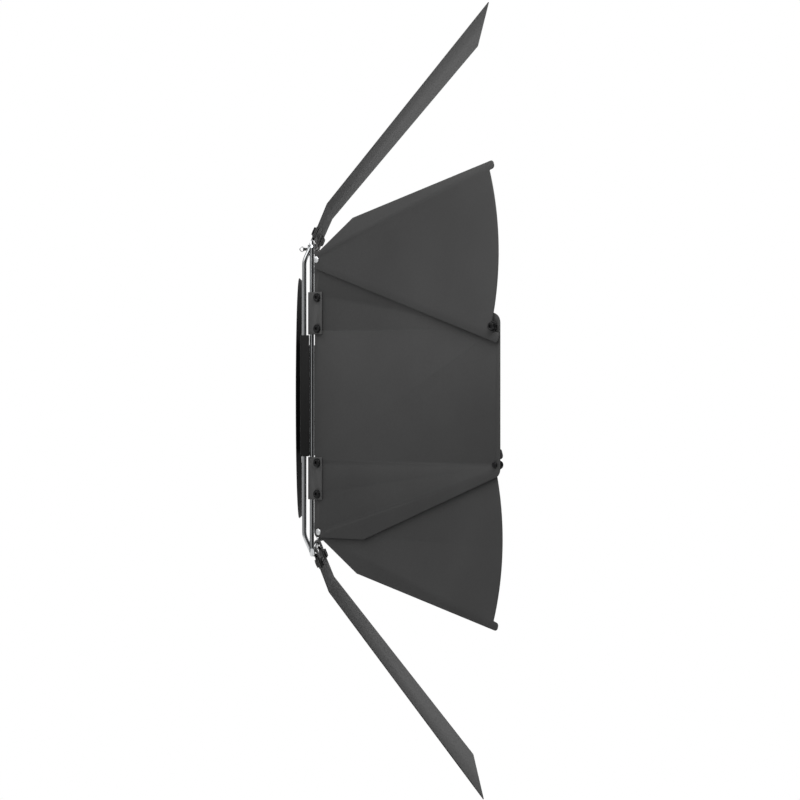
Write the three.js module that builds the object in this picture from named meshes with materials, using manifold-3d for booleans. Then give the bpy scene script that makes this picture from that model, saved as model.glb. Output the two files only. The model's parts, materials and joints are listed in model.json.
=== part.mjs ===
// Eight-leaf barn door attachment for a stage light. Millimetres, +Z up, +X forward along the light's axis.
// The origin is the centre of the ring plate, on the plane of its rear rim.
// The right side is the one at -Y, the left side the one at +Y.
import * as THREE from "three";
import { mergeVertices } from "three/addons/utils/BufferGeometryUtils.js";
import Module from "manifold-3d";

const wasm = await Module();
wasm.setup();

// Clearances
const seat = 0.3;
const holeGap = 0.3;

// Ring plate
const ringRearRadius = 123;
const ringTaper = 4;
const ringDepth = 5;
const ringSheet = 1.2;
const ringLand = 14;
const ringSegments = 96;

// Rods
const rodRadius = 2.2;
const rodSegments = 14;
const frameHalf = 153;
const frameCornerRadius = 7;
const frameAxisX = 16.7;
const rearRodInset = 19;
const rearRodAngle = 24;
const rearRodBend = 4;

// Side brackets
const bracketSheet = 1.5;
const bracketGap = 0.65;
const bracketBend = 0.8;
const bracketInset = 1.5;

// The side leaves and their brackets sit this far along the rods from the middle
const sideShift = 2.4;

// Leaves
const leafSheet = 1;
const leafEdge = 5.8;
const sideFlareAngle = 46.5;
const topFlareAngle = 50.6;
const bottomFlareAngle = 52.6;
const sideRearInset = 15;
const sideShoulder = 76;
const guideSideEdge = 9.7;
const guideFrontEdge = 6.2;
const sideFrontRound = 9;
const sideRearRound = 5;
const sideReliefRunIn = 2;
const sideReliefDepth = 0.8;
const bentFirst = 40.9;
const bentMain = 247.2;
const bentAngle = 16;
const bentRadius = 3;
const bentRearInset = 32;
const bentBendInset = 19.4;
const bentTipSpread = 40.7;
const notchHalf = 11;
const notchReach = 19.5;

// Straps that clamp a leaf on its rod
const strapSheet = 1.2;
const strapLength = 41.3;
const strapInset = 72.5;
const strapReach = 17.8;
const strapJoggleAngle = 40;
const strapArcSteps = 14;

// Strap bolts
const boltRadius = 2.5;
const boltHeadRadius = 4.25;
const boltHeadHeight = 1.8;
const boltReach = 12.3;
const boltSpacing = 30.5;
const boltTail = 0.3;
const nutFlats = 8;
const nutHeight = 1.6;
const socketFlats = 4;
const socketDepth = 1.2;

// Ears
const earSheet = 1;
const earPivotReach = 12;
const earPivotInset = 20.4;
const earEndRadius = 8.9;
const earEndCut = 3;
const earEndRound = 1.5;
const earRootAngle = 67;
const earShoulderReach = 51.6;
const earShoulderRise = 38.7;
const earTabReach = 232.8;
const earTabRise = 82.5;
const earArcRadius = 248.2;
const earTabDepth = 7;
const earTabSpanAngle = 1.9;
const earHookDepth = 12.3;
const earHookSpanAngle = 2.1;
const earRound = 3;

// Friction washers under the ears, the ear rivets and the guide screws
const washerRadius = 4;
const washerSheet = 1;
const rivetRadius = 1.6;
const rivetHeadRadius = 3.2;
const rivetHeadHeight = 1.3;
const rivetTailRadius = 2.5;
const rivetTailHeight = 0.8;
const guideRimGap = 0.6;
const guideAngle = 15.9;
const guideStopAngle = 0.35;
const guideShankRadius = 2;
const guideShoulderRadius = 2.4;
const guideFlangeRadius = 4.8;
const guideFlangeSheet = 1;
const guideHeadRadius = 4;
const guideHeadHeight = 2.6;
const guideTailRadius = 3;
const guideTailHeight = 1;

// Filter latch on the top rod
const latchHalf = 7;
const latchSleeveWall = 0.8;
const latchTabSheet = 2.6;
const latchTabX = 9;
const latchTabBelow = 6.8;
const latchTabAbove = 3.8;
const latchArmHalf = 1.2;
const latchRootX = 4;
const latchRootBelow = 1.7;
const latchRootAbove = 1;
const latchRootHalf = 2.4;
const latchEyeX = 5.3;
const latchEyeRadius = 1.3;
const loopRadius = 2.3;
const loopWire = 0.45;

// Colours
const black = { color: 0x2a2a2b, roughness: 0.5, metalness: 0.1 };
const darkBlack = { color: 0x161617, roughness: 0.5, metalness: 0.1 };
const plated = { color: 0x9a9c9e, roughness: 0.35, metalness: 0.9 };
const bright = { color: 0xc4c6c8, roughness: 0.4, metalness: 0.9 };
const boltBlack = { color: 0x101011, roughness: 0.35, metalness: 0.6 };
const fibre = { color: 0x1c1a18, roughness: 0.9, metalness: 0 };

const rad = THREE.MathUtils.degToRad;
const strapInner = rodRadius + seat;
const strapOuter = strapInner + strapSheet;
const leafOuter = rodRadius;
const leafInner = leafOuter - leafSheet;
const innerLegTop = leafInner - seat;
const innerLegLow = innerLegTop - strapSheet;
const guideRadius = earArcRadius + guideRimGap + guideShoulderRadius;
const earTabRadius = earArcRadius + earTabDepth;
const earHookRadius = earArcRadius + earHookDepth;
const guideHalfAngle = THREE.MathUtils.radToDeg(Math.asin(guideShoulderRadius / guideRadius));
const hookStart = guideAngle + guideHalfAngle + guideStopAngle;
const hookEnd = hookStart + earHookSpanAngle;
const earTabAngle = THREE.MathUtils.radToDeg(Math.atan2(earTabRise, earTabReach)) - earTabSpanAngle;
const ringFront = ringDepth;
const ringFrontRadius = ringRearRadius - ringTaper;
const ringAperture = ringFrontRadius - ringLand;
const rearRodStraight = frameHalf - rearRodInset;
const sideRearHalf = frameHalf - sideRearInset;
const bentRearHalf = frameHalf - bentRearInset;
const bentBendHalf = frameHalf - bentBendInset;
const bentTipHalf = frameHalf + bentTipSpread;
const earPivotHeight = frameHalf - earPivotInset;
const rearRodX = ringFront + seat + bracketSheet + seat + rodRadius;
const slotFront = frameAxisX - rodRadius;
const strapCentre = frameHalf - strapInset;
const bracketLength = 2 * (strapCentre - strapLength / 2 - bracketGap);
const sideReliefHalf = strapCentre - strapLength / 2 + sideReliefRunIn;
const sideReach = earPivotReach + guideRadius * Math.cos(rad(guideAngle)) + guideFrontEdge;
const sideFrontHalf = earPivotHeight - guideRadius * Math.sin(rad(guideAngle)) + guideSideEdge;
const latchTabLow = frameHalf - latchTabBelow;
const latchTabHigh = frameHalf + latchTabAbove;
const latchRootLow = frameHalf - latchRootBelow;
const latchRootHigh = frameHalf + latchRootAbove;

// Solids

function solid(geometry) {
  const bare = geometry.index ? geometry.toNonIndexed() : geometry.clone();
  bare.deleteAttribute("normal");
  bare.deleteAttribute("uv");
  const merged = mergeVertices(bare, 1e-4);
  return new wasm.Manifold(
    new wasm.Mesh({
      numProp: 3,
      vertProperties: new Float32Array(merged.attributes.position.array),
      triVerts: new Uint32Array(merged.index.array),
    }),
  );
}

function geometryOf(body) {
  const mesh = body.getMesh();
  const geometry = new THREE.BufferGeometry();
  geometry.setAttribute("position", new THREE.BufferAttribute(new Float32Array(mesh.vertProperties), 3));
  geometry.setIndex(new THREE.BufferAttribute(new Uint32Array(mesh.triVerts), 1));
  const flat = geometry.toNonIndexed();
  flat.computeVertexNormals();
  return flat;
}

function box(low, high) {
  const size = high.map((value, axis) => value - low[axis]);
  const geometry = new THREE.BoxGeometry(size[0], size[1], size[2]);
  return geometry.translate(low[0] + size[0] / 2, low[1] + size[1] / 2, low[2] + size[2] / 2);
}

// A cylinder along the third axis, from low to high
function post(radius, low, high, segments, at) {
  const geometry = new THREE.CylinderGeometry(radius, radius, high - low, segments);
  geometry.rotateX(Math.PI / 2);
  return geometry.translate(at[0], at[1], (low + high) / 2);
}

// A hexagonal post with the given distance across its flats
function hexPost(flats, low, high, at) {
  return post(flats / Math.sqrt(3), low, high, 6, at);
}

// A turned piece about the third axis, from points [radius, height]
function turned(points, segments, at) {
  const outline = points.map(([radius, height]) => new THREE.Vector2(radius, height));
  const geometry = new THREE.LatheGeometry(outline, segments);
  geometry.rotateX(Math.PI / 2);
  return geometry.translate(at[0], at[1], 0);
}

function plate(outline, holes, low, high) {
  const shape = new THREE.Shape(outline);
  for (const [x, y, radius] of holes) {
    const hole = new THREE.Path();
    hole.absarc(x, y, radius, 0, Math.PI * 2, true);
    shape.holes.push(hole);
  }
  const geometry = new THREE.ExtrudeGeometry(shape, { depth: high - low, bevelEnabled: false, curveSegments: 12 });
  return geometry.translate(0, 0, low);
}

function polar(radius, degrees) {
  return new THREE.Vector2(radius * Math.cos(rad(degrees)), radius * Math.sin(rad(degrees)));
}

function arcPoints(radius, from, to, steps, centre = new THREE.Vector2()) {
  const points = [];
  for (let i = 0; i <= steps; i += 1) {
    points.push(polar(radius, from + ((to - from) * i) / steps).add(centre));
  }
  return points;
}

// An outline with each corner [point, radius] rounded
function rounded(corners, steps = 5) {
  const points = [];
  corners.forEach(([corner, radius], i) => {
    if (!radius) {
      points.push(corner);
      return;
    }
    const before = corners[(i + corners.length - 1) % corners.length][0].clone().sub(corner).normalize();
    const after = corners[(i + 1) % corners.length][0].clone().sub(corner).normalize();
    const half = Math.acos(THREE.MathUtils.clamp(before.dot(after), -1, 1)) / 2;
    const cut = radius / Math.tan(half);
    const from = corner.clone().addScaledVector(before, cut);
    const to = corner.clone().addScaledVector(after, cut);
    const centre = corner.clone().addScaledVector(before.clone().add(after).normalize(), radius / Math.sin(half));
    const start = from.clone().sub(centre);
    const end = to.clone().sub(centre);
    const turn = Math.atan2(start.cross(end), start.dot(end));
    for (let k = 0; k <= steps; k += 1) {
      points.push(start.clone().rotateAround(new THREE.Vector2(), (turn * k) / steps).add(centre));
    }
  });
  return points;
}

function circlePath(radius, segments) {
  return new THREE.Shape(arcPoints(radius, 0, 360 - 360 / segments, segments - 1));
}

// A rod along a curve
function rod(curve, steps) {
  return new THREE.ExtrudeGeometry(circlePath(rodRadius, rodSegments), {
    steps,
    bevelEnabled: false,
    extrudePath: curve,
  });
}

// Pieces of the fixed frame

function ringPlate() {
  const outline = [
    [ringRearRadius - ringSheet, 0],
    [ringRearRadius, 0],
    [ringFrontRadius, ringDepth],
    [ringAperture, ringDepth],
    [ringAperture, ringDepth - ringSheet],
    [ringFrontRadius - ringSheet, ringDepth - ringSheet],
    [ringRearRadius - ringSheet, 0],
  ];
  return turned(outline, ringSegments, [0, 0]).rotateY(Math.PI / 2);
}

class SquareLoop extends THREE.Curve {
  getPoint(share, target = new THREE.Vector3()) {
    const straight = frameHalf - frameCornerRadius;
    const side = 2 * straight;
    const corner = (Math.PI / 2) * frameCornerRadius;
    const whole = (share % 1) * 4;
    const quarter = Math.floor(whole) % 4;
    const along = (whole - Math.floor(whole)) * (side + corner);
    const local = new THREE.Vector2();
    if (along <= side / 2) {
      local.set(frameHalf, along);
    } else if (along <= side / 2 + corner) {
      const turn = (along - side / 2) / frameCornerRadius;
      local.set(
        straight + frameCornerRadius * Math.cos(turn),
        straight + frameCornerRadius * Math.sin(turn),
      );
    } else {
      local.set(straight - (along - side / 2 - corner), frameHalf);
    }
    local.rotateAround(new THREE.Vector2(), (quarter * Math.PI) / 2);
    return target.set(frameAxisX, local.x, local.y);
  }
}

// The loop is swept here by hand so that its first and last rings are one
function frontFrame(radius) {
  const loop = new SquareLoop();
  const cornerSteps = 6;
  const straight = frameHalf - frameCornerRadius;
  const corner = (Math.PI / 2) * frameCornerRadius;
  const quarterLength = 2 * straight + corner;
  const shares = [];
  for (let quarter = 0; quarter < 4; quarter += 1) {
    for (let i = 0; i <= cornerSteps; i += 1) {
      shares.push((quarter + (straight + (corner * i) / cornerSteps) / quarterLength) / 4);
    }
  }
  const positions = [];
  const ringOf = (share) => {
    const centre = loop.getPoint(share);
    const before = loop.getPoint(share - 1e-5 + 1);
    const after = loop.getPoint(share + 1e-5);
    const tangent = after.sub(before).normalize();
    const across = new THREE.Vector3(1, 0, 0);
    const up = new THREE.Vector3().crossVectors(tangent, across);
    return arcPoints(radius, 0, 360 - 360 / rodSegments, rodSegments - 1).map((point) =>
      centre.clone().addScaledVector(across, point.x).addScaledVector(up, point.y),
    );
  };
  const rings = shares.map(ringOf);
  rings.forEach((ring, i) => {
    const next = rings[(i + 1) % rings.length];
    ring.forEach((point, k) => {
      const other = (k + 1) % ring.length;
      positions.push(...point, ...ring[other], ...next[other]);
      positions.push(...point, ...next[other], ...next[k]);
    });
  });
  const geometry = new THREE.BufferGeometry();
  geometry.setAttribute("position", new THREE.Float32BufferAttribute(positions, 3));
  return geometry;
}

// A rear rod runs behind a side rod of the front frame, and its ends lean forward onto that rod's back
function rearRod(side) {
  const reach = slotFront - rearRodX - seat;
  const endZ = rearRodStraight + reach / Math.tan(rad(rearRodAngle));
  const y = side * frameHalf;
  const corners = [
    new THREE.Vector3(rearRodX + reach, y, -endZ),
    new THREE.Vector3(rearRodX, y, -rearRodStraight),
    new THREE.Vector3(rearRodX, y, rearRodStraight),
    new THREE.Vector3(rearRodX + reach, y, endZ),
  ];
  const whole = solid(rod(bentPath(corners, rearRodBend), 24));
  return geometryOf(whole.subtract(solid(frontFrame(rodRadius + seat))));
}

// A path of straight lines with its inner corners rounded
function bentPath(corners, cut) {
  const path = new THREE.CurvePath();
  let from = corners[0];
  for (let i = 1; i < corners.length - 1; i += 1) {
    const before = corners[i - 1].clone().sub(corners[i]).normalize();
    const after = corners[i + 1].clone().sub(corners[i]).normalize();
    const enter = corners[i].clone().addScaledVector(before, cut);
    const leave = corners[i].clone().addScaledVector(after, cut);
    path.add(new THREE.LineCurve3(from, enter));
    path.add(new THREE.QuadraticBezierCurve3(enter, corners[i], leave));
    from = leave;
  }
  path.add(new THREE.LineCurve3(from, corners[corners.length - 1]));
  return path;
}

// Its flange lies on the ring plate, and its web passes outside the rear rod to the front rod
function sideBracket(side) {
  const rear = ringFront + seat;
  const inner = ringAperture + bracketInset;
  const webInner = frameHalf + rodRadius + seat;
  const outer = webInner + bracketSheet;
  const front = slotFront - seat;
  const outline = rounded([
    [new THREE.Vector2(rear, inner), 0],
    [new THREE.Vector2(rear, outer), bracketBend + bracketSheet],
    [new THREE.Vector2(front, outer), 0],
    [new THREE.Vector2(front, webInner), 0],
    [new THREE.Vector2(rear + bracketSheet, webInner), bracketBend],
    [new THREE.Vector2(rear + bracketSheet, inner), 0],
  ]).reverse();
  const half = bracketLength / 2;
  const geometry = plate(outline, [], -half, half);
  if (side < 0) {
    geometry.rotateX(Math.PI);
  }
  return geometry.translate(0, 0, -side * sideShift);
}

// Pieces of a leaf, in the leaf's own axes: out from the rod, along the rod, and outward from the leaf

function boltPlaces() {
  const places = [];
  for (const strap of [-1, 1]) {
    for (const end of [-1, 1]) {
      places.push([boltReach, strap * strapCentre + (end * boltSpacing) / 2]);
    }
  }
  return places;
}

function boltHoles() {
  return boltPlaces().map(([out, along]) => [out, along, boltRadius + holeGap]);
}

function pivotPlace(end) {
  return [earPivotReach, end * earPivotHeight];
}

function guidePlace(end) {
  const from = polar(guideRadius, -guideAngle);
  return [earPivotReach + from.x, end * (earPivotHeight + from.y)];
}

// Its rear edge is cut back a little between the straps, and the cut runs in under them
function sideLeaf() {
  const corners = [
    [new THREE.Vector2(leafEdge, -sideRearHalf), sideRearRound],
    [new THREE.Vector2(sideShoulder, -sideRearHalf), sideRearRound],
    [new THREE.Vector2(sideReach, -sideFrontHalf), sideFrontRound],
    [new THREE.Vector2(sideReach, sideFrontHalf), sideFrontRound],
    [new THREE.Vector2(sideShoulder, sideRearHalf), sideRearRound],
    [new THREE.Vector2(leafEdge, sideRearHalf), sideRearRound],
    [new THREE.Vector2(leafEdge, sideReliefHalf), 0],
    [new THREE.Vector2(leafEdge + sideReliefDepth, sideReliefHalf), 0],
    [new THREE.Vector2(leafEdge + sideReliefDepth, -sideReliefHalf), 0],
    [new THREE.Vector2(leafEdge, -sideReliefHalf), 0],
  ];
  const holes = boltHoles();
  for (const end of [-1, 1]) {
    holes.push([...pivotPlace(end), rivetRadius + holeGap]);
    holes.push([...guidePlace(end), guideShankRadius + holeGap]);
  }
  return plate(rounded(corners), holes, leafInner, leafOuter);
}

// The main panel turns towards the light's axis: inward from the first panel, or outward in the axes of a
// leaf that is clamped the other way up
function bentLeaf(turn) {
  const middle = (leafInner + leafOuter) / 2;
  const half = leafSheet / 2;
  const bend = new THREE.Vector2(bentFirst, middle);
  const tip = bend.clone().add(polar(bentMain, turn * bentAngle));
  const tipOut = polar(half, 90 + turn * bentAngle);
  const mitre = turn * Math.tan(rad(bentAngle / 2)) * half;
  const [lowerBend, upperBend] = turn < 0 ? [bentRadius, bentRadius + leafSheet] : [bentRadius + leafSheet, bentRadius];
  const profile = rounded([
    [new THREE.Vector2(leafEdge, leafInner), 0],
    [new THREE.Vector2(bentFirst + mitre, leafInner), lowerBend],
    [tip.clone().sub(tipOut), 0],
    [tip.clone().add(tipOut), 0],
    [new THREE.Vector2(bentFirst - mitre, leafOuter), upperBend],
    [new THREE.Vector2(leafEdge, leafOuter), 0],
  ]);
  const width = bentTipHalf + bentTipHalf;
  const strip = plate(profile, [], -width / 2, width / 2);
  strip.rotateX(Math.PI / 2);
  const reach = tip.x + leafSheet;
  const outline = [
    new THREE.Vector2(leafEdge - leafSheet, -bentRearHalf),
    new THREE.Vector2(bentFirst, -bentBendHalf),
    new THREE.Vector2(reach, -bentTipHalf),
    new THREE.Vector2(reach, bentTipHalf),
    new THREE.Vector2(bentFirst, bentBendHalf),
    new THREE.Vector2(leafEdge - leafSheet, bentRearHalf),
    new THREE.Vector2(leafEdge - leafSheet, notchHalf),
    new THREE.Vector2(notchReach, notchHalf),
    new THREE.Vector2(notchReach, -notchHalf),
    new THREE.Vector2(leafEdge - leafSheet, -notchHalf),
  ];
  const plan = plate(outline, boltHoles(), -bentMain, bentMain);
  return geometryOf(solid(strip).intersect(solid(plan)));
}

function strapProfile() {
  const rise = (radius, level) => {
    const from = polar(radius, -strapJoggleAngle);
    const way = (level - from.y) / Math.cos(rad(strapJoggleAngle));
    return new THREE.Vector2(from.x + way * Math.sin(rad(strapJoggleAngle)), level);
  };
  return [
    new THREE.Vector2(strapReach, strapInner),
    new THREE.Vector2(strapReach, strapOuter),
    ...arcPoints(strapOuter, 90, 360 - strapJoggleAngle, strapArcSteps),
    rise(strapOuter, innerLegLow),
    new THREE.Vector2(strapReach, innerLegLow),
    new THREE.Vector2(strapReach, innerLegTop),
    rise(strapInner, innerLegTop),
    ...arcPoints(strapInner, 360 - strapJoggleAngle, 90, strapArcSteps),
  ];
}

function strap(end) {
  const strip = plate(strapProfile(), [], -strapLength / 2, strapLength / 2);
  strip.rotateX(Math.PI / 2).translate(0, end * strapCentre, 0);
  let body = solid(strip);
  const places = boltPlaces().filter(([, along]) => along * end > 0);
  for (const place of places) {
    body = body.add(solid(hexPost(nutFlats, innerLegLow - nutHeight, innerLegTop, place)));
  }
  for (const place of places) {
    const low = innerLegLow - nutHeight - strapSheet;
    body = body.subtract(solid(post(boltRadius + holeGap, low, strapOuter + strapSheet, 16, place)));
  }
  return geometryOf(body);
}

// A screw or bolt with a hexagonal socket, its head at the high end
function socketHead(points, top, place) {
  const body = solid(turned(points, 20, place));
  return geometryOf(body.subtract(solid(hexPost(socketFlats, top - socketDepth, top + socketDepth, place))));
}

function strapBolt(place) {
  const low = innerLegLow - nutHeight - boltTail;
  const under = strapOuter + seat;
  const top = under + boltHeadHeight;
  const chamfer = boltTail;
  const points = [
    [0, low],
    [boltRadius - chamfer / 2, low],
    [boltRadius, low + chamfer / 2],
    [boltRadius, under],
    [boltHeadRadius, under],
    [boltHeadRadius, top - chamfer],
    [boltHeadRadius - chamfer, top],
    [0, top],
  ];
  return socketHead(points, top, place);
}

// An ear lies on the outer face of the leaf (face 1) or on its inner face (face -1)
function levels(face) {
  const skin = face > 0 ? leafOuter : leafInner;
  const at = (distance) => skin + face * distance;
  const earLow = seat + washerSheet + seat;
  return {
    washer: [at(seat), at(seat + washerSheet)],
    ear: [at(earLow), at(earLow + earSheet)],
    over: at(earLow + earSheet + seat),
    other: (face > 0 ? leafInner : leafOuter) - face * seat,
  };
}

function sorted(pair) {
  return pair[0] < pair[1] ? pair : [pair[1], pair[0]];
}

// The round end is trimmed straight on the rod's side
function earOutline() {
  const hookCorner = polar(earHookRadius, -hookEnd);
  const tangent = hookEnd + THREE.MathUtils.radToDeg(Math.acos(earEndRadius / earHookRadius));
  const touch = polar(earEndRadius, -tangent);
  const share = (earEndCut + hookCorner.x) / (hookCorner.x - touch.x);
  const cutLow = hookCorner.clone().lerp(touch, share);
  const cutHigh = new THREE.Vector2(-earEndCut, Math.sqrt(earEndRadius ** 2 - earEndCut ** 2));
  const cutAngle = THREE.MathUtils.radToDeg(Math.atan2(cutHigh.y, cutHigh.x) - earEndRound / earEndRadius);
  const tabTop = new THREE.Vector2(earTabReach, earTabRise);
  const tabEnd = earTabAngle + earTabSpanAngle * 0.9;
  return rounded([
    [new THREE.Vector2(earShoulderReach, earShoulderRise), 0],
    [tabTop, 0],
    [polar(earTabRadius, tabEnd), earRound],
    [polar(earTabRadius, earTabAngle), earRound],
    [polar(earArcRadius, earTabAngle), 0],
    ...arcPoints(earArcRadius, earTabAngle - 0.8, 0.8 - hookStart, 22).map((point) => [point, 0]),
    [polar(earArcRadius, -hookStart), 0],
    [polar(earHookRadius, -hookStart), earRound],
    [hookCorner, earRound],
    [cutLow, earEndRound],
    [cutHigh, earEndRound],
    ...arcPoints(earEndRadius, cutAngle, earRootAngle, 6).map((point) => [point, 0]),
  ]);
}

function ear(end, face) {
  const place = pivotPlace(end);
  let outline = earOutline().map((point) => new THREE.Vector2(point.x, end * point.y));
  if (end > 0) {
    outline = outline.reverse();
  }
  const [low, high] = sorted(levels(face).ear);
  const geometry = plate(outline, [[0, 0, rivetRadius + holeGap]], low, high);
  return geometry.translate(place[0], place[1], 0);
}

function earWasher(end, face) {
  const [low, high] = sorted(levels(face).washer);
  const hole = rivetRadius + holeGap;
  const outline = [[hole, low], [washerRadius, low], [washerRadius, high], [hole, high], [hole, low]];
  return turned(outline, 28, pivotPlace(end));
}

// The domed head is always on the outer face, the spread tail on the inner face
function earRivet(end, face) {
  const level = levels(face);
  const under = face > 0 ? level.over : level.other;
  const tail = face > 0 ? level.other : level.over;
  const dome = 4;
  const points = [
    [0, tail - rivetTailHeight],
    [rivetTailRadius, tail - rivetTailHeight],
    [rivetTailRadius, tail],
    [rivetRadius, tail],
    [rivetRadius, under],
  ];
  for (let i = 0; i <= dome; i += 1) {
    const turn = (Math.PI / 2) * (i / dome);
    points.push([i === dome ? 0 : rivetHeadRadius * Math.cos(turn), under + rivetHeadHeight * Math.sin(turn)]);
  }
  return turned(points, 20, pivotPlace(end));
}

function guideScrew(end, face) {
  const level = levels(face);
  const skin = face > 0 ? leafOuter : leafInner;
  const away = face * (level.other - skin);
  const over = face * (level.over - skin);
  const top = over + guideFlangeSheet + guideHeadHeight;
  const points = [
    [0, away - guideTailHeight],
    [guideTailRadius, away - guideTailHeight],
    [guideTailRadius, away],
    [guideShankRadius, away],
    [guideShankRadius, seat],
    [guideShoulderRadius, seat],
    [guideShoulderRadius, over],
    [guideFlangeRadius, over],
    [guideFlangeRadius, over + guideFlangeSheet],
    [guideHeadRadius, over + guideFlangeSheet],
    [guideHeadRadius, top - guideTailHeight / 2],
    [guideHeadRadius - guideTailHeight / 2, top],
    [0, top],
  ];
  const geometry = socketHead(points, top, [0, 0]);
  if (face < 0) {
    geometry.rotateX(Math.PI);
  }
  const place = guidePlace(end);
  return geometry.translate(place[0], place[1], skin);
}

// The filter latch, in the frame's axes

function latchTab() {
  const sleeve = turned(
    [
      [strapInner, -latchHalf],
      [strapInner + latchSleeveWall, -latchHalf],
      [strapInner + latchSleeveWall, latchHalf],
      [strapInner, latchHalf],
      [strapInner, -latchHalf],
    ],
    20,
    [0, 0],
  );
  sleeve.rotateX(Math.PI / 2).translate(frameAxisX, 0, frameHalf);
  const tabFront = latchTabX + latchTabSheet;
  const sleeveRear = frameAxisX - strapInner - latchSleeveWall / 2;
  const tab = box([latchTabX, -latchHalf, latchTabLow], [tabFront, latchHalf, latchTabHigh]);
  const arm = box(
    [tabFront - latchTabSheet / 2, -latchHalf, frameHalf - latchArmHalf],
    [sleeveRear, latchHalf, frameHalf + latchArmHalf],
  );
  const tongue = box(
    [latchRootX, -latchRootHalf, latchRootLow],
    [tabFront - latchTabSheet / 2, latchRootHalf, latchRootHigh],
  );
  const eye = post(latchEyeRadius, latchRootLow - latchTabSheet, latchRootHigh + latchTabSheet, 16, [latchEyeX, 0]);
  const body = solid(sleeve).add(solid(arm)).add(solid(tab)).add(solid(tongue)).subtract(solid(eye));
  return geometryOf(body);
}

function latchLoop() {
  const geometry = new THREE.TorusGeometry(loopRadius, loopWire, 8, 28);
  geometry.rotateX(Math.PI / 2);
  return geometry.translate(latchEyeX - loopRadius, 0, (latchRootLow + latchRootHigh) / 2);
}

// Assembly

const group = new THREE.Group();
group.name = "barn_door";

function addMesh(name, geometry, look) {
  if (!geometry.getAttribute("normal")) {
    geometry.computeVertexNormals();
  }
  const mesh = new THREE.Mesh(geometry, new THREE.MeshStandardMaterial(look));
  mesh.name = name;
  group.add(mesh);
}

// Places a leaf piece: the leaf's flare from straight ahead, its shift along the rod, and the quarter
// turns about the light's axis that bring the right side to the leaf's own side
function placing(flare, shift, quarters) {
  const out = new THREE.Vector3(Math.cos(rad(flare)), -Math.sin(rad(flare)), 0);
  const along = new THREE.Vector3(0, 0, 1);
  const outward = new THREE.Vector3(-Math.sin(rad(flare)), -Math.cos(rad(flare)), 0);
  const basis = new THREE.Matrix4().makeBasis(out, along, outward);
  basis.setPosition(frameAxisX, -frameHalf, shift);
  return new THREE.Matrix4().makeRotationX((quarters * Math.PI) / 2).multiply(basis);
}

function addLeaf(name, leaf, matrix) {
  addMesh(`${name}_leaf`, leaf.applyMatrix4(matrix), black);
  for (const [label, end] of [["a", -1], ["b", 1]]) {
    addMesh(`${name}_strap_${label}`, strap(end).applyMatrix4(matrix), black);
  }
  boltPlaces().forEach((place, i) => {
    addMesh(`${name}_strap_bolt_${i + 1}`, strapBolt(place).applyMatrix4(matrix), boltBlack);
  });
}

function addEar(name, end, face, matrix) {
  addMesh(`${name}_ear`, ear(end, face).applyMatrix4(matrix), black);
  addMesh(`${name}_ear_washer`, earWasher(end, face).applyMatrix4(matrix), fibre);
  addMesh(`${name}_ear_rivet`, earRivet(end, face).applyMatrix4(matrix), bright);
  addMesh(`${name}_ear_guide_screw`, guideScrew(end, face).applyMatrix4(matrix), boltBlack);
}

addMesh("ring_plate", ringPlate(), darkBlack);
addMesh("front_frame_rod", frontFrame(rodRadius), plated);
addMesh("rear_rod_right", rearRod(-1), plated);
addMesh("rear_rod_left", rearRod(1), plated);
addMesh("side_bracket_right", sideBracket(-1), black);
addMesh("side_bracket_left", sideBracket(1), black);
addMesh("filter_latch", latchTab(), black);
addMesh("latch_loop", latchLoop(), plated);

// The bottom leaf is clamped the other way up, with its bolt heads inside
const turnedOver = new THREE.Matrix4().makeRotationX(Math.PI);
addLeaf("top", bentLeaf(-1), placing(topFlareAngle + bentAngle, 0, -1));
addLeaf("bottom", bentLeaf(1), placing(bottomFlareAngle + bentAngle, 0, 1).multiply(turnedOver));
for (const [side, quarters] of [["right", 0], ["left", 2]]) {
  const matrix = placing(sideFlareAngle, sideShift, quarters);
  const [high, low] = quarters === 0 ? ["upper", "lower"] : ["lower", "upper"];
  addLeaf(side, sideLeaf(), matrix);
  addEar(`${side}_${high}`, 1, 1, matrix);
  addEar(`${side}_${low}`, -1, -1, matrix);
}

export default group;
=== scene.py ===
import json
import math

import bmesh
import bpy
from mathutils import Matrix, Vector

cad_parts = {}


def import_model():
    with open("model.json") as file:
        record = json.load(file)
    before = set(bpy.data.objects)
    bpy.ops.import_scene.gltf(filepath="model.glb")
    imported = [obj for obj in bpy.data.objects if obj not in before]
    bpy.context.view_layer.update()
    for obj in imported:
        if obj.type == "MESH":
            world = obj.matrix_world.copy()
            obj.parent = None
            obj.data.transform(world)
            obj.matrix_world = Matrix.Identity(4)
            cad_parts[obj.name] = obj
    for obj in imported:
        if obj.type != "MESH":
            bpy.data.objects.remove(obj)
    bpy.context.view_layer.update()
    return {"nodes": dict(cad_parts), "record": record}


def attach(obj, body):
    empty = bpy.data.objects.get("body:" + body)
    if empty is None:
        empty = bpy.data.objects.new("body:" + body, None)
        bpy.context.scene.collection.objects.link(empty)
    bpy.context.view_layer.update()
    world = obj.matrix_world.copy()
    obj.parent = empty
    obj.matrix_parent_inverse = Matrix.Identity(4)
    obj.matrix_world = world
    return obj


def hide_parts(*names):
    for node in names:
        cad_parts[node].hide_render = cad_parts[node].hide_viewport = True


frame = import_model()

# Lengths here are millimetres, on the frame's own axes: X forward along the light's axis, Z up, and the
# right side at -Y. A mesh is scaled to metres when it becomes a piece.
MM = 0.001

# Camera, level with the middle of the attachment and looking along +Y
CAMERA_PLACE = (93.1, -3300.0, 1.2)
CAMERA_LENS = 144.88
CAMERA_SENSOR = 36.0
CAMERA_SHIFT = (0.0125, -0.00375)
CAMERA_REACH = 100000.0

# Clearances
SEAT = 0.3
HOLE_GAP = 0.3

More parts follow.
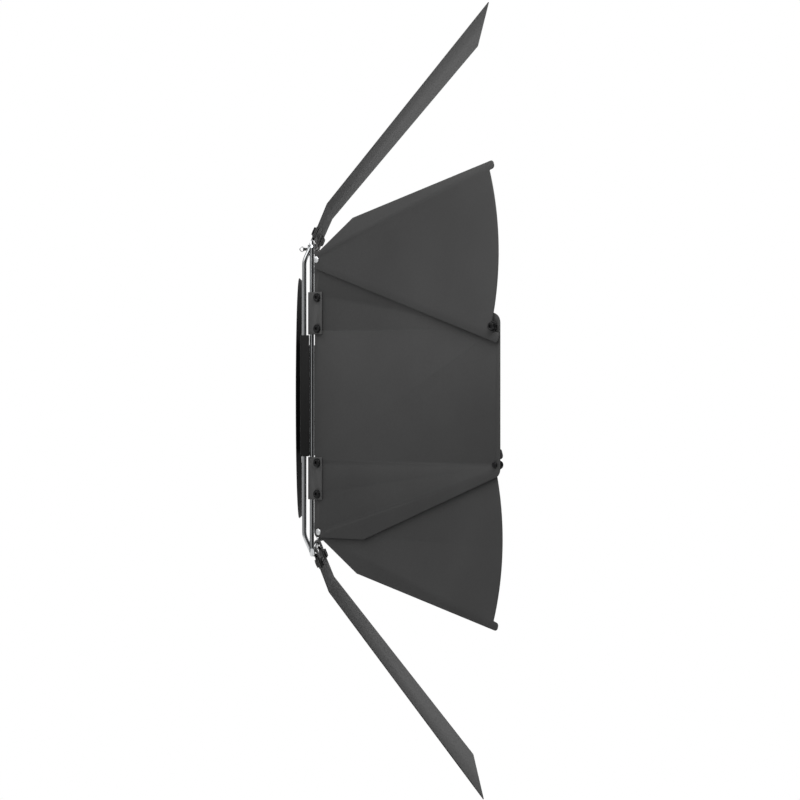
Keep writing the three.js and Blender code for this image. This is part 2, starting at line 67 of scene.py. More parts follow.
# Ring plate
RING_REAR_RADIUS = 123.0
RING_FRONT_RADIUS = 119.0
RING_DEPTH = 5.0
RING_SHEET = 1.2
RING_APERTURE = 105.0
RING_EDGE = 0.35
RING_STEPS = 192
RING_CREASE = 25

# Rods
ROD_RADIUS = 2.2
ROD_SIDES = 32
FRAME_HALF = 153.0
FRAME_CORNER = 7.0
FRAME_AXIS_X = 16.7
REAR_ROD_STRAIGHT = 134.0
REAR_ROD_TILT = 24.0
REAR_ROD_BEND_RADIUS = 18.0
REAR_ROD_FACE_GAP = 0.05
BRACKET_SHEET = 1.5
ROD_BEND_STEPS = 12

# Leaves, their clamps and bolts
SIDE_SHIFT = 2.4
SIDE_FLARE = 46.5
TOP_FLARE = 50.6
BOTTOM_FLARE = 52.6
BENT_ANGLE = 16.0
LEAF_SHEET = 1.0
STRAP_SHEET = 1.2
STRAP_CENTRE = 80.5
BOLT_RADIUS = 2.5
BOLT_HEAD_RADIUS = 4.25
BOLT_HEAD_HEIGHT = 1.8
BOLT_REACH = 12.3
BOLT_SPACING = 30.5
BOLT_TAIL = 0.3
NUT_HEIGHT = 1.6
SOCKET_SIDES = 6
SOCKET_FLATS = 4.0
SOCKET_DEPTH = 1.2
SOCKET_CONE = 0.3
SOCKET_LEAD = 0.3

# Ears
EAR_SHEET = 1.0
EAR_PIVOT_REACH = 12.0
EAR_PIVOT_HEIGHT = 132.6
WASHER_RADIUS = 4.0
WASHER_SHEET = 1.0
RIVET_RADIUS = 1.6
RIVET_HEAD_RADIUS = 3.2
RIVET_HEAD_HEIGHT = 1.3
RIVET_TAIL_RADIUS = 2.5
RIVET_TAIL_HEIGHT = 0.8
RIVET_DOME_STEPS = 10
# The rivet's spread tail is dished, by these shares of its own height and radius
DISH_MIDDLE = 0.7
DISH_SIDE = 0.75
DISH_RADIUS = 0.6
LIP_SIDE = 0.9
GUIDE_RADIUS = 251.2
GUIDE_ANGLE = 15.9
GUIDE_SHANK_RADIUS = 2.0
GUIDE_SHOULDER_RADIUS = 2.4
GUIDE_FLANGE_RADIUS = 4.8
GUIDE_FLANGE_SHEET = 1.0
GUIDE_HEAD_RADIUS = 4.0
GUIDE_HEAD_HEIGHT = 2.6
GUIDE_TAIL_RADIUS = 3.0
GUIDE_TAIL_HEIGHT = 1.0

# Latch loop
LOOP_RADIUS = 2.3
LOOP_WIRE = 0.45
LOOP_EYE_X = 5.3
LOOP_HEIGHT = 152.65
LOOP_WIRE_SIDES = 20
LOOP_STEPS = 64

# Broken edges
SHEET_BREAK = 0.22
STRAP_BREAK = 0.25
BRACKET_BREAK = 0.35
LATCH_BREAK = 0.3
HEAD_BREAK = 0.45
GUIDE_BREAK = 0.9
TURNED_STEPS = 48
# A turned head's broken edge passes through one point, this share of the break in from the corner
ROUND_SHARE = 0.3

# How near points are that a mesh merges, in millimetres, and the angles between faces, in degrees, below
# which they count as flat and above which an edge is cut or creased
COPY_MERGE = 0.002
POLE_MERGE = 0.001
SEAM_MERGE = 0.01
FLAT_ANGLE = 1
CUT_EDGE_ANGLE = 50
CREASE = 35

# Most of a noise's values lie between these
NOISE_LOW = 0.3
NOISE_HIGH = 0.7

# Floor, whose shadow fades out between two distances from its middle
FLOOR_HEIGHT = -1000.0
FLOOR_HALF = 3000.0
FLOOR_FADE_START = 1200.0
FLOOR_FADE_END = 2800.0
FLOOR_WHITE_SHARE = 0.8

# Room. Its walls fade in between two parts of a direction's length, along X for the beam's side and
# along Y for the white wall.
ROOM_LIGHT = 0.35
BEAM_SIDE_LIGHT = 0.7
BEAM_SIDE_SHEEN = 0.012
BEAM_SIDE_START = -0.15
BEAM_SIDE_END = 0.25
WALL_START = 0.5
WALL_END = 0.8

strap_outer = ROD_RADIUS + SEAT + STRAP_SHEET
leaf_outer = ROD_RADIUS
leaf_inner = leaf_outer - LEAF_SHEET
inner_leg_low = leaf_inner - SEAT - STRAP_SHEET
rear_rod_x = RING_DEPTH + SEAT + BRACKET_SHEET + SEAT + ROD_RADIUS
slot_front = FRAME_AXIS_X - ROD_RADIUS
socket_corner = SOCKET_FLATS / math.sqrt(3)

body_of = {node: body for body, nodes in frame["record"]["behaviour"]["bodies"].items() for node in nodes}


# Materials

def linear(colour):
    """An sRGB hex value as linear red, green and blue, with alpha."""
    shares = [int(colour[i:i + 2], 16) / 255 for i in (1, 3, 5)]
    return [s / 12.92 if s <= 0.04045 else ((s + 0.055) / 1.055) ** 2.4 for s in shares] + [1.0]


def add_node(tree, kind, settings=None, inputs=None):
    """Adds a node, makes its settings, and fills or links its inputs."""
    node = tree.nodes.new(kind)
    for key, value in (settings or {}).items():
        setattr(node, key, value)
    for key, value in (inputs or {}).items():
        if isinstance(value, bpy.types.NodeSocket):
            tree.links.new(value, node.inputs[key])
        else:
            node.inputs[key].default_value = value
    return node


def new_material(name, **sockets):
    """A material with one Principled shader, whose constant sockets are set here."""
    material = bpy.data.materials.new(name)
    material.use_nodes = True
    tree = material.node_tree
    shader = tree.nodes["Principled BSDF"]
    for key, value in sockets.items():
        shader.inputs[key.replace("_", " ")].default_value = value
    place = add_node(tree, "ShaderNodeTexCoord").outputs["Object"]
    return material, tree, shader, place


def blotches(tree, place, size, detail, stretch=(1, 1, 1)):
    """A noise pattern about size millimetres across, drawn out along an axis by its stretch."""
    scale = [1 / (size * MM * along) for along in stretch]
    moved = add_node(tree, "ShaderNodeMapping", inputs={"Vector": place, "Scale": scale})
    made = add_node(
        tree, "ShaderNodeTexNoise",
        inputs={"Vector": moved.outputs["Vector"], "Scale": 1.0, "Detail": detail, "Roughness": 0.5},
    )
    return made.outputs["Fac"]


def dress(tree, shader, tone, relief, gloss=None):
    """Gives the surface its tone, a pattern between two hex colours; its relief, a pattern with a depth in
    millimetres and a strength; and its gloss, a pattern between two roughnesses."""
    pattern, dark, light = tone
    share = add_node(
        tree, "ShaderNodeMapRange",
        inputs={"Value": pattern, "From Min": NOISE_LOW, "From Max": NOISE_HIGH, "To Min": 0, "To Max": 1},
    )
    mixed = add_node(
        tree, "ShaderNodeMix", {"data_type": "RGBA"},
        {"Factor": share.outputs["Result"], "A": linear(dark), "B": linear(light)},
    )
    tree.links.new(mixed.outputs["Result"], shader.inputs["Base Color"])
    pattern, depth, strength = relief
    raised = add_node(
        tree, "ShaderNodeBump", inputs={"Strength": strength, "Distance": depth * MM, "Height": pattern},
    )
    tree.links.new(raised.outputs["Normal"], shader.inputs["Normal"])
    if gloss:
        pattern, smooth, rough = gloss
        ranged = add_node(
            tree, "ShaderNodeMapRange",
            inputs={
                "Value": pattern, "From Min": NOISE_LOW, "From Max": NOISE_HIGH,
                "To Min": smooth, "To Max": rough,
            },
        )
        tree.links.new(ranged.outputs["Result"], shader.inputs["Roughness"])


def powder_coat(name, dark, light, roughness, specular):
    """Polyester powder coat, sprayed and baked on sheet. Its skin has a fine orange peel about a millimetre
    and a half across, which breaks the sheen up. The gloss changes every few millimetres, and the tone
    drifts slowly over the panel."""
    panel = 70
    speck = 2.4
    peel = 1.5
    material, tree, shader, place = new_material(name, Specular_IOR_Level=specular)
    dress(
        tree, shader,
        tone=(blotches(tree, place, panel, 3.0), dark, light),
        relief=(blotches(tree, place, peel, 1.0), 0.004, 0.3),
        gloss=(blotches(tree, place, speck, 2.0), roughness - 0.04, roughness + 0.05),
    )
    return material


def zinc_plate(name, dark, light, roughness):
    """Bright zinc plating on drawn steel wire. The drawing leaves faint lines along the rod, shown here as
    coarse as they need to be to show, and the plating has soft grey clouds. The lines run upward on what
    stands further to the side than up, and across on the rest."""
    cloud = 14
    line = 0.7
    line_stretch = 40
    material, tree, shader, place = new_material(name, Metallic=1.0)
    axes = add_node(tree, "ShaderNodeSeparateXYZ", inputs={"Vector": place})
    across = add_node(tree, "ShaderNodeMath", {"operation": "ABSOLUTE"}, {0: axes.outputs["Y"]})
    upward = add_node(tree, "ShaderNodeMath", {"operation": "ABSOLUTE"}, {0: axes.outputs["Z"]})
    side = add_node(
        tree, "ShaderNodeMath", {"operation": "GREATER_THAN"},
        {0: across.outputs["Value"], 1: upward.outputs["Value"]},
    )
    lines = add_node(
        tree, "ShaderNodeMix", {"data_type": "FLOAT"},
        {
            "Factor": side.outputs["Value"],
            "A": blotches(tree, place, line, 1.0, (1, line_stretch, 1)),
            "B": blotches(tree, place, line, 1.0, (1, 1, line_stretch)),
        },
    )
    drawn = lines.outputs["Result"]
    dress(
        tree, shader,
        tone=(blotches(tree, place, cloud, 3.0), dark, light),
        relief=(drawn, 0.002, 0.15),
        gloss=(drawn, roughness - 0.02, roughness + 0.04),
    )
    return material


def black_oxide(name, dark, light, roughness):
    """Black oxide on steel, oiled: nearly black, with a tight gloss and small grey patches, partly rubbed
    wear and partly a painted highlight that stands in for small glints.
    """
    patch = 1.6
    grain = 0.5
    material, tree, shader, place = new_material(name, Metallic=0.6)
    # Grey patches: partly rubbed wear, partly painted highlight lightened to give small glints
    rubbed_and_glint_patches = blotches(tree, place, patch, 3.0)
    dress(
        tree, shader,
        tone=(rubbed_and_glint_patches, dark, light),
        relief=(blotches(tree, place, grain, 1.0), 0.005, 0.3),
        gloss=(rubbed_and_glint_patches, roughness - 0.05, roughness + 0.1),
    )
    return material


def bare_aluminium(name, dark, light, roughness):
    """Bare aluminium rivet, pressed to a dome: pale, softly reflecting, with fine marks from the tool."""
    mark = 0.8
    material, tree, shader, place = new_material(name, Metallic=1.0)
    marks = blotches(tree, place, mark, 3.0)
    dress(
        tree, shader,
        tone=(marks, dark, light),
        relief=(marks, 0.01, 0.3),
        gloss=(marks, roughness - 0.05, roughness + 0.08),
    )
    return material


def fibre(name, dark, light):
    """Vulcanised fibre friction washer: dull, near black, with short matted fibres."""
    tuft = 0.6
    material, tree, shader, place = new_material(name, Roughness=0.85, Specular_IOR_Level=0.3)
    mat = blotches(tree, place, tuft, 4.0)
    dress(tree, shader, tone=(mat, dark, light), relief=(mat, 0.03, 0.5))
    return material


leaf_coat = powder_coat("satin_black_powder_coat", "#383838", "#3c3c3c", 0.65, 0.2)
strap_coat = powder_coat("satin_black_clamp_powder_coat", "#424242", "#474747", 0.6, 0.25)
bracket_coat = powder_coat("low_sheen_black_powder_coat", "#181818", "#1c1c1c", 0.6, 0.1)
ring_coat = powder_coat("matte_black_powder_coat", "#181818", "#1d1d1d", 0.65, 0.1)
rod_plate = zinc_plate("bright_zinc_plated_wire", "#bcbec0", "#cdcfd0", 0.14)
# The bolts' lighter patch tone is partly rubbed wear and partly painted highlight, lightened to give small
# glints
bolt_black = black_oxide("black_oxide_steel", "#0e0e0f", "#272728", 0.3)
rivet_metal = bare_aluminium("bare_aluminium", "#d2d4d5", "#dfe0e1", 0.55)
washer_fibre = fibre("black_vulcanised_fibre", "#15130f", "#211e1a")


# Pieces

def make_piece(bm, node, name, material, matrix=None, crease=CREASE):
    """Turns a bmesh in millimetres into a piece that stands for a CAD node and rides on its body."""
    bmesh.ops.transform(bm, matrix=Matrix.Scale(MM, 4) @ (matrix or Matrix()), verts=bm.verts)
    mesh = bpy.data.meshes.new(name)
    bm.to_mesh(mesh)
    bm.free()
    for polygon in mesh.polygons:
        polygon.use_smooth = True
    mesh.set_sharp_from_angle(angle=math.radians(crease))
    mesh.materials.append(material)
    piece = bpy.data.objects.new(name, mesh)
    bpy.context.scene.collection.objects.link(piece)
    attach(piece, body_of[node])
    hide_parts(node)
    return piece


def edged_copy(node, name, width, material):
    """A sheet piece with the CAD solid's shape and its cut edges broken, as deburred sheet has them."""
    bm = bmesh.new()
    bm.from_mesh(frame["nodes"][node].data)
    bmesh.ops.scale(bm, vec=(1 / MM,) * 3, verts=bm.verts)
    bmesh.ops.remove_doubles(bm, verts=bm.verts, dist=COPY_MERGE)
    bmesh.ops.dissolve_limit(bm, angle_limit=math.radians(FLAT_ANGLE), verts=bm.verts, edges=bm.edges)
    cut = math.radians(CUT_EDGE_ANGLE)
    sharp = [edge for edge in bm.edges if len(edge.link_faces) == 2 and edge.calc_face_angle() > cut]
    bmesh.ops.bevel(
        bm, geom=sharp, offset=width, offset_type="OFFSET", segments=2, profile=0.5, affect="EDGES",
        material=-1, clamp_overlap=False,
    )
    return make_piece(bm, node, name, material)


def spun(points, steps=TURNED_STEPS):
    """A turned shape about Z from points [radius, height], with its poles merged."""
    bm = bmesh.new()
    verts = [bm.verts.new((radius, 0, height)) for radius, height in points]
    edges = [bm.edges.new(pair) for pair in zip(verts, verts[1:])]
    bmesh.ops.spin(
        bm, geom=verts + edges, cent=(0, 0, 0), axis=(0, 0, 1), angle=math.tau, steps=steps, use_merge=True,
    )
    bmesh.ops.remove_doubles(bm, verts=bm.verts, dist=POLE_MERGE)
    return bm


def ring_profile():
    """The ring plate's section: the tapering rim and the flat annulus, with broken edges."""
    rim = RING_REAR_RADIUS - RING_SHEET
    inner = RING_FRONT_RADIUS - RING_SHEET
    back = RING_DEPTH - RING_SHEET
    return [
        [rim, RING_EDGE], [rim + RING_EDGE, 0], [RING_REAR_RADIUS - RING_EDGE, 0],
        [RING_REAR_RADIUS, RING_EDGE], [RING_FRONT_RADIUS + RING_EDGE / 2, RING_DEPTH - RING_EDGE * 1.5],
        [RING_FRONT_RADIUS - RING_EDGE, RING_DEPTH], [RING_APERTURE + RING_EDGE, RING_DEPTH],
        [RING_APERTURE, RING_DEPTH - RING_EDGE], [RING_APERTURE, back + RING_EDGE],
        [RING_APERTURE + RING_EDGE, back], [inner, back], [rim, RING_EDGE],
    ]


def ring_plate():
    """The section turned about the light's axis."""
    bm = spun(ring_profile(), RING_STEPS)
    bmesh.ops.recalc_face_normals(bm, faces=bm.faces)
    forward = Matrix.Rotation(math.pi / 2, 4, "Y")
    make_piece(bm, "ring_plate", "ring_plate_spun", ring_coat, forward, RING_CREASE)


def section(bm, centre):
    """A rod's round section in the plane of X and Y."""
    made = bmesh.ops.create_circle(
        bm, cap_ends=False, radius=ROD_RADIUS, segments=ROD_SIDES, matrix=Matrix.Translation(centre),
    )
    return list({edge for vert in made["verts"] for edge in vert.link_edges})


def run_on(bm, edges, step):
    """Carries a section on in a straight line."""
    made = bmesh.ops.extrude_edge_only(bm, edges=edges)
    verts = {item for item in made["geom"] if isinstance(item, bmesh.types.BMVert)}
    bmesh.ops.translate(bm, vec=step, verts=list(verts))
    made_edges = [item for item in made["geom"] if isinstance(item, bmesh.types.BMEdge)]
    return [edge for edge in made_edges if verts.issuperset(edge.verts)]


def turn_on(bm, edges, centre, axis, angle):
    """Carries a section on round a bend."""
    verts = list({vert for edge in edges for vert in edge.verts})
    made = bmesh.ops.spin(
        bm, geom=verts + edges, cent=centre, axis=axis, angle=angle, steps=ROD_BEND_STEPS,
        use_duplicate=False,
    )
    return [item for item in made["geom_last"] if isinstance(item, bmesh.types.BMEdge)]


def closed(bm):
    """Merges a mesh's seams and turns its faces outwards."""
    bmesh.ops.remove_doubles(bm, verts=bm.verts, dist=SEAM_MERGE)
    bmesh.ops.recalc_face_normals(bm, faces=bm.faces)
    return bm


def front_frame():
    """The square of rod: four straights and four bends, closed on itself."""
    bm = bmesh.new()
    straight = FRAME_HALF - FRAME_CORNER
    edges = section(bm, (FRAME_AXIS_X, FRAME_HALF, 0))
    edges = run_on(bm, edges, (0, 0, straight))
    for quarter in range(4):
        turn = Matrix.Rotation(quarter * math.pi / 2, 4, "X")
        centre = turn @ Vector((FRAME_AXIS_X, straight, straight))
        edges = turn_on(bm, edges, centre, (1, 0, 0), math.pi / 2)
        length = straight if quarter == 3 else 2 * straight
        edges = run_on(bm, edges, turn @ Vector((0, -length, 0)))
    make_piece(closed(bm), "front_frame_rod", "front_frame_wire", rod_plate)


def rear_rod(side, node):
    """A rear rod: a straight with both ends bent forward onto the front frame, cut flush with it."""
    bm = bmesh.new()
    y = side * FRAME_HALF
    turn = math.radians(REAR_ROD_TILT)
    cut = REAR_ROD_BEND_RADIUS * math.tan(turn / 2)
    reach = FRAME_AXIS_X - rear_rod_x
    first = section(bm, (rear_rod_x, y, 0))
    edges = run_on(bm, first, (0, 0, REAR_ROD_STRAIGHT - cut))
    centre = (rear_rod_x + REAR_ROD_BEND_RADIUS, y, REAR_ROD_STRAIGHT - cut)
    edges = turn_on(bm, edges, centre, (0, 1, 0), turn)
    run_on(bm, edges, (reach, 0, reach / math.tan(turn)))
    bmesh.ops.mirror(bm, geom=bm.verts[:] + bm.edges[:] + bm.faces[:], axis="Z", merge_dist=POLE_MERGE)
    face_x = slot_front - REAR_ROD_FACE_GAP
    flush = bmesh.ops.bisect_plane(
        bm, geom=bm.verts[:] + bm.edges[:] + bm.faces[:], plane_co=(face_x, 0, 0), plane_no=(1, 0, 0),
        clear_outer=True,
    )
    ends = [item for item in flush["geom_cut"] if isinstance(item, bmesh.types.BMEdge)]
    bmesh.ops.edgeloop_fill(bm, edges=ends)
    make_piece(closed(bm), node, node + "_wire", rod_plate)


def latch_loop():
    """A closed ring of thin wire through the latch's eye."""
    bm = bmesh.new()
    upright = Matrix.Rotation(math.pi / 2, 4, "X")
    made = bmesh.ops.create_circle(
        bm, radius=LOOP_WIRE, segments=LOOP_WIRE_SIDES,
        matrix=Matrix.Translation((LOOP_RADIUS, 0, 0)) @ upright,
    )
    edges = list({edge for vert in made["verts"] for edge in vert.link_edges})
    bmesh.ops.spin(
        bm, geom=made["verts"] + edges, cent=(0, 0, 0), axis=(0, 0, 1), angle=math.tau,
        steps=LOOP_STEPS, use_merge=True,
    )
    place = Matrix.Translation((LOOP_EYE_X - LOOP_RADIUS, 0, LOOP_HEIGHT)) @ upright
    make_piece(closed(bm), "latch_loop", "latch_loop_wire", rod_plate, place)


def socketed(points, top):
    """A turned screw from points that end on its head's top, whose middle is sunk to a hexagonal socket
    with a chamfered mouth and a drilled floor."""
    bm = spun(points + [[socket_corner + SOCKET_LEAD, top]])
    mouth = [edge for edge in bm.edges if len(edge.link_faces) == 1]
    hexagon = bmesh.ops.create_circle(
        bm, radius=socket_corner, segments=SOCKET_SIDES,
        matrix=Matrix.Translation((0, 0, top - SOCKET_LEAD)),
    )
    edges = list({edge for vert in hexagon["verts"] for edge in vert.link_edges})
    bmesh.ops.subdivide_edges(bm, edges=edges, cuts=TURNED_STEPS // SOCKET_SIDES - 1)
    loop = [edge for edge in bm.edges if not edge.link_faces]
    bmesh.ops.bridge_loops(bm, edges=mouth + loop)
    low = run_on(bm, loop, (0, 0, -(SOCKET_DEPTH - SOCKET_LEAD)))
    made = bmesh.ops.edgeloop_fill(bm, edges=low)
    poked = bmesh.ops.poke(bm, faces=made["faces"])
    bmesh.ops.translate(bm, vec=(0, 0, -SOCKET_CONE), verts=poked["verts"])
    return closed(bm)


def strap_bolt():
    """Low socket-head bolt: a rounded head, a plain shank and a chamfered tail."""
    low = inner_leg_low - NUT_HEIGHT - BOLT_TAIL
    under = strap_outer + SEAT
    top = under + BOLT_HEAD_HEIGHT
    r = BOLT_HEAD_RADIUS
    points = [
        [0, low], [BOLT_RADIUS - BOLT_TAIL, low], [BOLT_RADIUS, low + BOLT_TAIL], [BOLT_RADIUS, under],
        [r - BOLT_TAIL / 2, under], [r, under + BOLT_TAIL / 2], [r, top - HEAD_BREAK],
        [r - HEAD_BREAK * ROUND_SHARE, top - HEAD_BREAK * ROUND_SHARE], [r - HEAD_BREAK, top],
    ]
    return socketed(points, top)


def placing(flare, shift, quarters):
    """From a leaf's own axes (out from the rod, along the rod, outward) to the frame's."""
    turn = math.radians(flare)
    out = Vector((math.cos(turn), -math.sin(turn), 0))
    outward = Vector((-math.sin(turn), -math.cos(turn), 0))
    axes = Matrix((out, (0, 0, 1), outward)).transposed().to_4x4()
    axes.translation = (FRAME_AXIS_X, -FRAME_HALF, shift)
    return Matrix.Rotation(quarters * math.pi / 2, 4, "X") @ axes


leaf_places = {
    "top": placing(TOP_FLARE + BENT_ANGLE, 0, -1),
    "bottom": placing(BOTTOM_FLARE + BENT_ANGLE, 0, 1) @ Matrix.Rotation(math.pi, 4, "X"),
    "right": placing(SIDE_FLARE, SIDE_SHIFT, 0),
    "left": placing(SIDE_FLARE, SIDE_SHIFT, 2),
}


def leaf_pieces(leaf):
    """One leaf with its two straps and four bolts."""
    edged_copy(f"{leaf}_leaf", f"{leaf}_leaf_sheet", SHEET_BREAK, leaf_coat)
    number = 0
    for letter, strap in (("a", -1), ("b", 1)):
        edged_copy(f"{leaf}_strap_{letter}", f"{leaf}_clamp_strap_{letter}", STRAP_BREAK, strap_coat)
        for end in (-1, 1):
            number += 1
            along = strap * STRAP_CENTRE + end * BOLT_SPACING / 2
            place = leaf_places[leaf] @ Matrix.Translation((BOLT_REACH, along, 0))
            node = f"{leaf}_strap_bolt_{number}"
            make_piece(strap_bolt(), node, f"{leaf}_socket_bolt_{number}", bolt_black, place)


def ear_levels(face):
    """Heights for an ear on the leaf's outer face, 1, or inner face, -1: the skin that it lies on, its
    washer's two faces, what lies over it, and the leaf's other skin, with their clearances."""
    skin = leaf_outer if face > 0 else leaf_inner
    ear_low = SEAT + WASHER_SHEET + SEAT
    return {
        "skin": skin,
        "washer": sorted((skin + face * SEAT, skin + face * (SEAT + WASHER_SHEET))),
        "over": skin + face * (ear_low + EAR_SHEET + SEAT),
        "other": (leaf_inner if face > 0 else leaf_outer) - face * SEAT,
    }


def ear_washer(face):
    """Flat washer between leaf and ear, its rim broken."""
    low, high = ear_levels(face)["washer"]
    hole = RIVET_RADIUS + HOLE_GAP
    edge = WASHER_SHEET / 8
    points = [
        [hole, low], [WASHER_RADIUS - edge, low], [WASHER_RADIUS, low + edge],
        [WASHER_RADIUS, high - edge], [WASHER_RADIUS - edge, high], [hole, high], [hole, low],
    ]
    return closed(spun(points))


def ear_rivet(face):
    """Domed head on the leaf's outer side, spread tail on its inner side."""
    levels = ear_levels(face)
    under, tail = (levels["over"], levels["other"]) if face > 0 else (levels["other"], levels["over"])
    radius = RIVET_TAIL_RADIUS
    height = RIVET_TAIL_HEIGHT
    lip = height / 4
    points = [
        [0, tail - height * DISH_MIDDLE], [RIVET_RADIUS * DISH_RADIUS, tail - height * DISH_SIDE],
        [radius * DISH_SIDE, tail - height], [radius - lip, tail - height * LIP_SIDE],
        [radius, tail - height / 2], [radius, tail], [RIVET_RADIUS, tail], [RIVET_RADIUS, under],
    ]
    for step in range(RIVET_DOME_STEPS):
        turn = math.pi / 2 * step / RIVET_DOME_STEPS
        points.append([RIVET_HEAD_RADIUS * math.cos(turn), under + RIVET_HEAD_HEIGHT * math.sin(turn)])
    points.append([0, under + RIVET_HEAD_HEIGHT])
    return closed(spun(points))


def guide_screw(face):
    """Socket-head screw with a wide flange that keeps the ear's rim down, and a riveted-over tail."""
    levels = ear_levels(face)
    away = face * (levels["other"] - levels["skin"])
    flange = face * (levels["over"] - levels["skin"])
    collar = flange + GUIDE_FLANGE_SHEET
    top = collar + GUIDE_HEAD_HEIGHT
    edge = GUIDE_FLANGE_SHEET / 5
    r = GUIDE_HEAD_RADIUS
    points = [
        [0, away - GUIDE_TAIL_HEIGHT], [GUIDE_TAIL_RADIUS - edge, away - GUIDE_TAIL_HEIGHT],
        [GUIDE_TAIL_RADIUS, away - GUIDE_TAIL_HEIGHT + edge], [GUIDE_TAIL_RADIUS, away],
        [GUIDE_SHANK_RADIUS, away], [GUIDE_SHANK_RADIUS, SEAT], [GUIDE_SHOULDER_RADIUS, SEAT],
        [GUIDE_SHOULDER_RADIUS, flange], [GUIDE_FLANGE_RADIUS - edge, flange],
        [GUIDE_FLANGE_RADIUS, flange + edge], [GUIDE_FLANGE_RADIUS, collar - edge],
        [GUIDE_FLANGE_RADIUS - edge, collar], [r, collar], [r, top - GUIDE_BREAK],
        [r - GUIDE_BREAK * ROUND_SHARE, top - GUIDE_BREAK * ROUND_SHARE], [r - GUIDE_BREAK, top],
    ]
    return socketed(points, top)


def ear_pieces(leaf, name, end, face):
    """One ear with its washer, rivet and guide screw, at one end and on one face of its leaf."""
    edged_copy(name, name + "_sheet", SHEET_BREAK, leaf_coat)
    pivot = leaf_places[leaf] @ Matrix.Translation((EAR_PIVOT_REACH, end * EAR_PIVOT_HEIGHT, 0))
    make_piece(ear_washer(face), name + "_washer", name + "_fibre_washer", washer_fibre, pivot)
    make_piece(ear_rivet(face), name + "_rivet", name + "_domed_rivet", rivet_metal, pivot)
    turn = math.radians(GUIDE_ANGLE)
    out = EAR_PIVOT_REACH + GUIDE_RADIUS * math.cos(turn)
    along = end * (EAR_PIVOT_HEIGHT - GUIDE_RADIUS * math.sin(turn))
    place = leaf_places[leaf] @ Matrix.Translation((out, along, ear_levels(face)["skin"]))
    if face < 0:
        place = place @ Matrix.Rotation(math.pi, 4, "X")
    make_piece(guide_screw(face), name + "_guide_screw", name + "_flanged_screw", bolt_black, place)


ring_plate()
front_frame()
rear_rod(-1, "rear_rod_right")
rear_rod(1, "rear_rod_left")
for side in ("right", "left"):
    edged_copy(f"side_bracket_{side}", f"side_bracket_{side}_sheet", BRACKET_BREAK, bracket_coat)
edged_copy("filter_latch", "filter_latch_sheet", LATCH_BREAK, leaf_coat)
latch_loop()
for leaf in leaf_places:
    leaf_pieces(leaf)
for leaf, high, low in (("right", "upper", "lower"), ("left", "lower", "upper")):
    ear_pieces(leaf, f"{leaf}_{high}_ear", 1, 1)
    ear_pieces(leaf, f"{leaf}_{low}_ear", -1, -1)


# Stage

def camera():
    """Level with the object, with a long lens, looking along +Y."""
    data = bpy.data.cameras.new("camera")
    data.lens = CAMERA_LENS
    data.sensor_width = CAMERA_SENSOR
    data.shift_x, data.shift_y = CAMERA_SHIFT
    data.clip_end = CAMERA_REACH * MM
    made = bpy.data.objects.new("camera", data)
    made.location = Vector(CAMERA_PLACE) * MM
    made.rotation_euler = (math.pi / 2, 0, 0)
    bpy.context.scene.collection.objects.link(made)
    bpy.context.scene.camera = made


def softbox(name, place, aim, size, watts):
    """A square soft lamp at a place in millimetres, turned to what it lights."""
    data = bpy.data.lights.new(name, "AREA")
    data.size = size * MM
    data.energy = watts
    made = bpy.data.objects.new(name, data)
    made.location = Vector(place) * MM
    made.rotation_euler = (Vector(place) - Vector(aim)).to_track_quat("Z", "Y").to_euler()
    bpy.context.scene.collection.objects.link(made)


def any_of(tree, values):
    """The highest of several values. Of kinds of ray, it is 1 for a ray of any of those kinds."""
    highest = values[0]
    for value in values[1:]:
        higher = add_node(tree, "ShaderNodeMath", {"operation": "MAXIMUM"}, {0: highest, 1: value})
        highest = higher.outputs["Value"]
    return highest


def world():
    """A studio with a white wall behind the object and a grey room in front of it. The side that the beam
    points to lights the leaves softly but shows dark in gloss, as behind a black flag, which leaves the
    dark band down each bright rod. What the camera sees past the object is white all round."""
    made = bpy.data.worlds.new("studio")
    made.use_nodes = True
    tree = made.node_tree
    background = tree.nodes["Background"]
    heading = add_node(tree, "ShaderNodeTexCoord").outputs["Generated"]
    towards = add_node(tree, "ShaderNodeSeparateXYZ", inputs={"Vector": heading})
    wall = add_node(
        tree, "ShaderNodeMapRange", {"interpolation_type": "SMOOTHSTEP"},
        {
            "Value": towards.outputs["Y"], "From Min": WALL_START, "From Max": WALL_END,
            "To Min": 0.0, "To Max": 1.0,
        },
    )
    path = add_node(tree, "ShaderNodeLightPath")
    beam_side = add_node(
        tree, "ShaderNodeMapRange",
        inputs={
            "Value": path.outputs["Is Glossy Ray"],
            "To Min": BEAM_SIDE_LIGHT, "To Max": BEAM_SIDE_SHEEN,
        },
    )
    room = add_node(
        tree, "ShaderNodeMapRange", {"interpolation_type": "SMOOTHSTEP"},
        {
            "Value": towards.outputs["X"], "From Min": BEAM_SIDE_START, "From Max": BEAM_SIDE_END,
            "To Min": ROOM_LIGHT, "To Max": beam_side.outputs["Result"],
        },
    )
    seen = [path.outputs["Is Camera Ray"], path.outputs["Is Transmission Ray"]]
    level = any_of(tree, [wall.outputs["Result"], room.outputs["Result"], *seen])
    background.inputs["Color"].default_value = (1, 1, 1, 1)
    tree.links.new(level, background.inputs["Strength"])
    bpy.context.scene.world = made


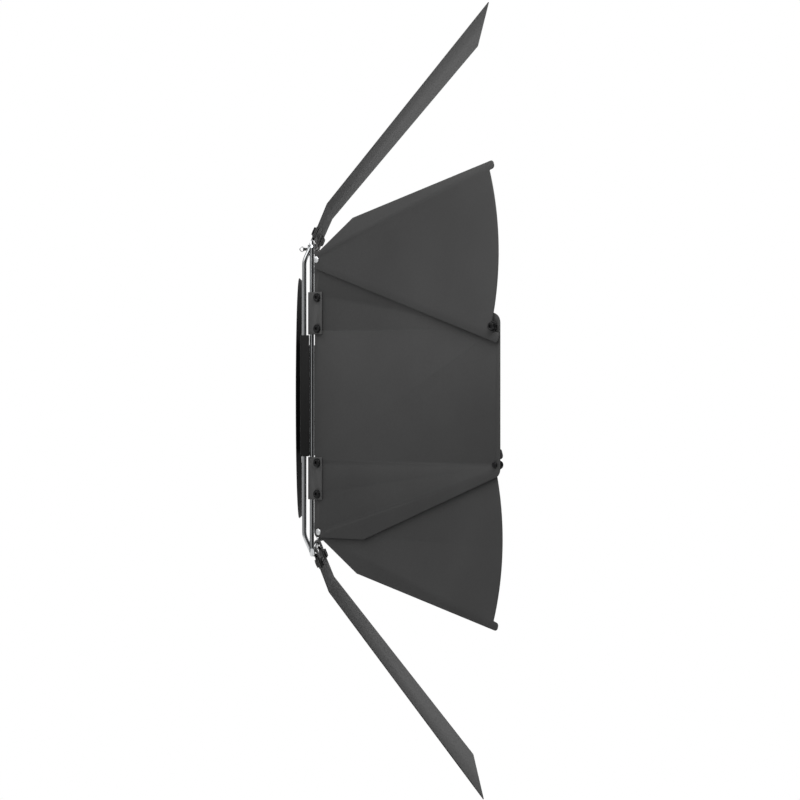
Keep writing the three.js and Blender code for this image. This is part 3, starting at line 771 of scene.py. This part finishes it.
def floor():
    """A white floor a metre below the light's axis. It keeps the object's soft shadow, and fades into the
    white beyond it."""
    bm = bmesh.new()
    bmesh.ops.create_grid(bm, x_segments=1, y_segments=1, size=FLOOR_HALF * MM)
    bmesh.ops.translate(bm, vec=(0, 0, FLOOR_HEIGHT * MM), verts=bm.verts)
    mesh = bpy.data.meshes.new("floor")
    bm.to_mesh(mesh)
    bm.free()
    material = bpy.data.materials.new("white_floor_paint")
    material.use_nodes = True
    tree = material.node_tree
    tree.nodes.remove(tree.nodes["Principled BSDF"])
    paint = add_node(tree, "ShaderNodeBsdfDiffuse", inputs={"Color": linear("#f4f4f4")})
    lit = add_node(tree, "ShaderNodeEmission", inputs={"Color": (1, 1, 1, 1), "Strength": 1.0})
    place = add_node(tree, "ShaderNodeTexCoord").outputs["Object"]
    away = add_node(tree, "ShaderNodeVectorMath", {"operation": "LENGTH"}, {0: place})
    share = add_node(
        tree, "ShaderNodeMapRange",
        inputs={
            "Value": away.outputs["Value"],
            "From Min": FLOOR_FADE_START * MM, "From Max": FLOOR_FADE_END * MM,
            "To Min": FLOOR_WHITE_SHARE, "To Max": 1.0,
        },
    )
    path = add_node(tree, "ShaderNodeLightPath")
    seen = [path.outputs[kind] for kind in ("Is Camera Ray", "Is Glossy Ray", "Is Transmission Ray")]
    factor = add_node(
        tree, "ShaderNodeMath", {"operation": "MULTIPLY"},
        {0: share.outputs["Result"], 1: any_of(tree, seen)},
    )
    mixed = add_node(
        tree, "ShaderNodeMixShader",
        inputs={0: factor.outputs["Value"], 1: paint.outputs["BSDF"], 2: lit.outputs["Emission"]},
    )
    tree.links.new(mixed.outputs["Shader"], tree.nodes["Material Output"].inputs["Surface"])
    mesh.materials.append(material)
    made = bpy.data.objects.new("floor", mesh)
    bpy.context.scene.collection.objects.link(made)


camera()
world()
floor()
softbox("key_softbox", place=(-600, -1000, 950), aim=(120, -250, 0), size=1400, watts=10)
softbox("fill_softbox", place=(330, -700, 560), aim=(200, -340, 0), size=350, watts=5)
softbox("top_softbox", place=(-900, 300, 1300), aim=(50, 0, 0), size=900, watts=10)
bpy.context.scene.view_settings.view_transform = "Standard"

bpy.context.view_layer.update()
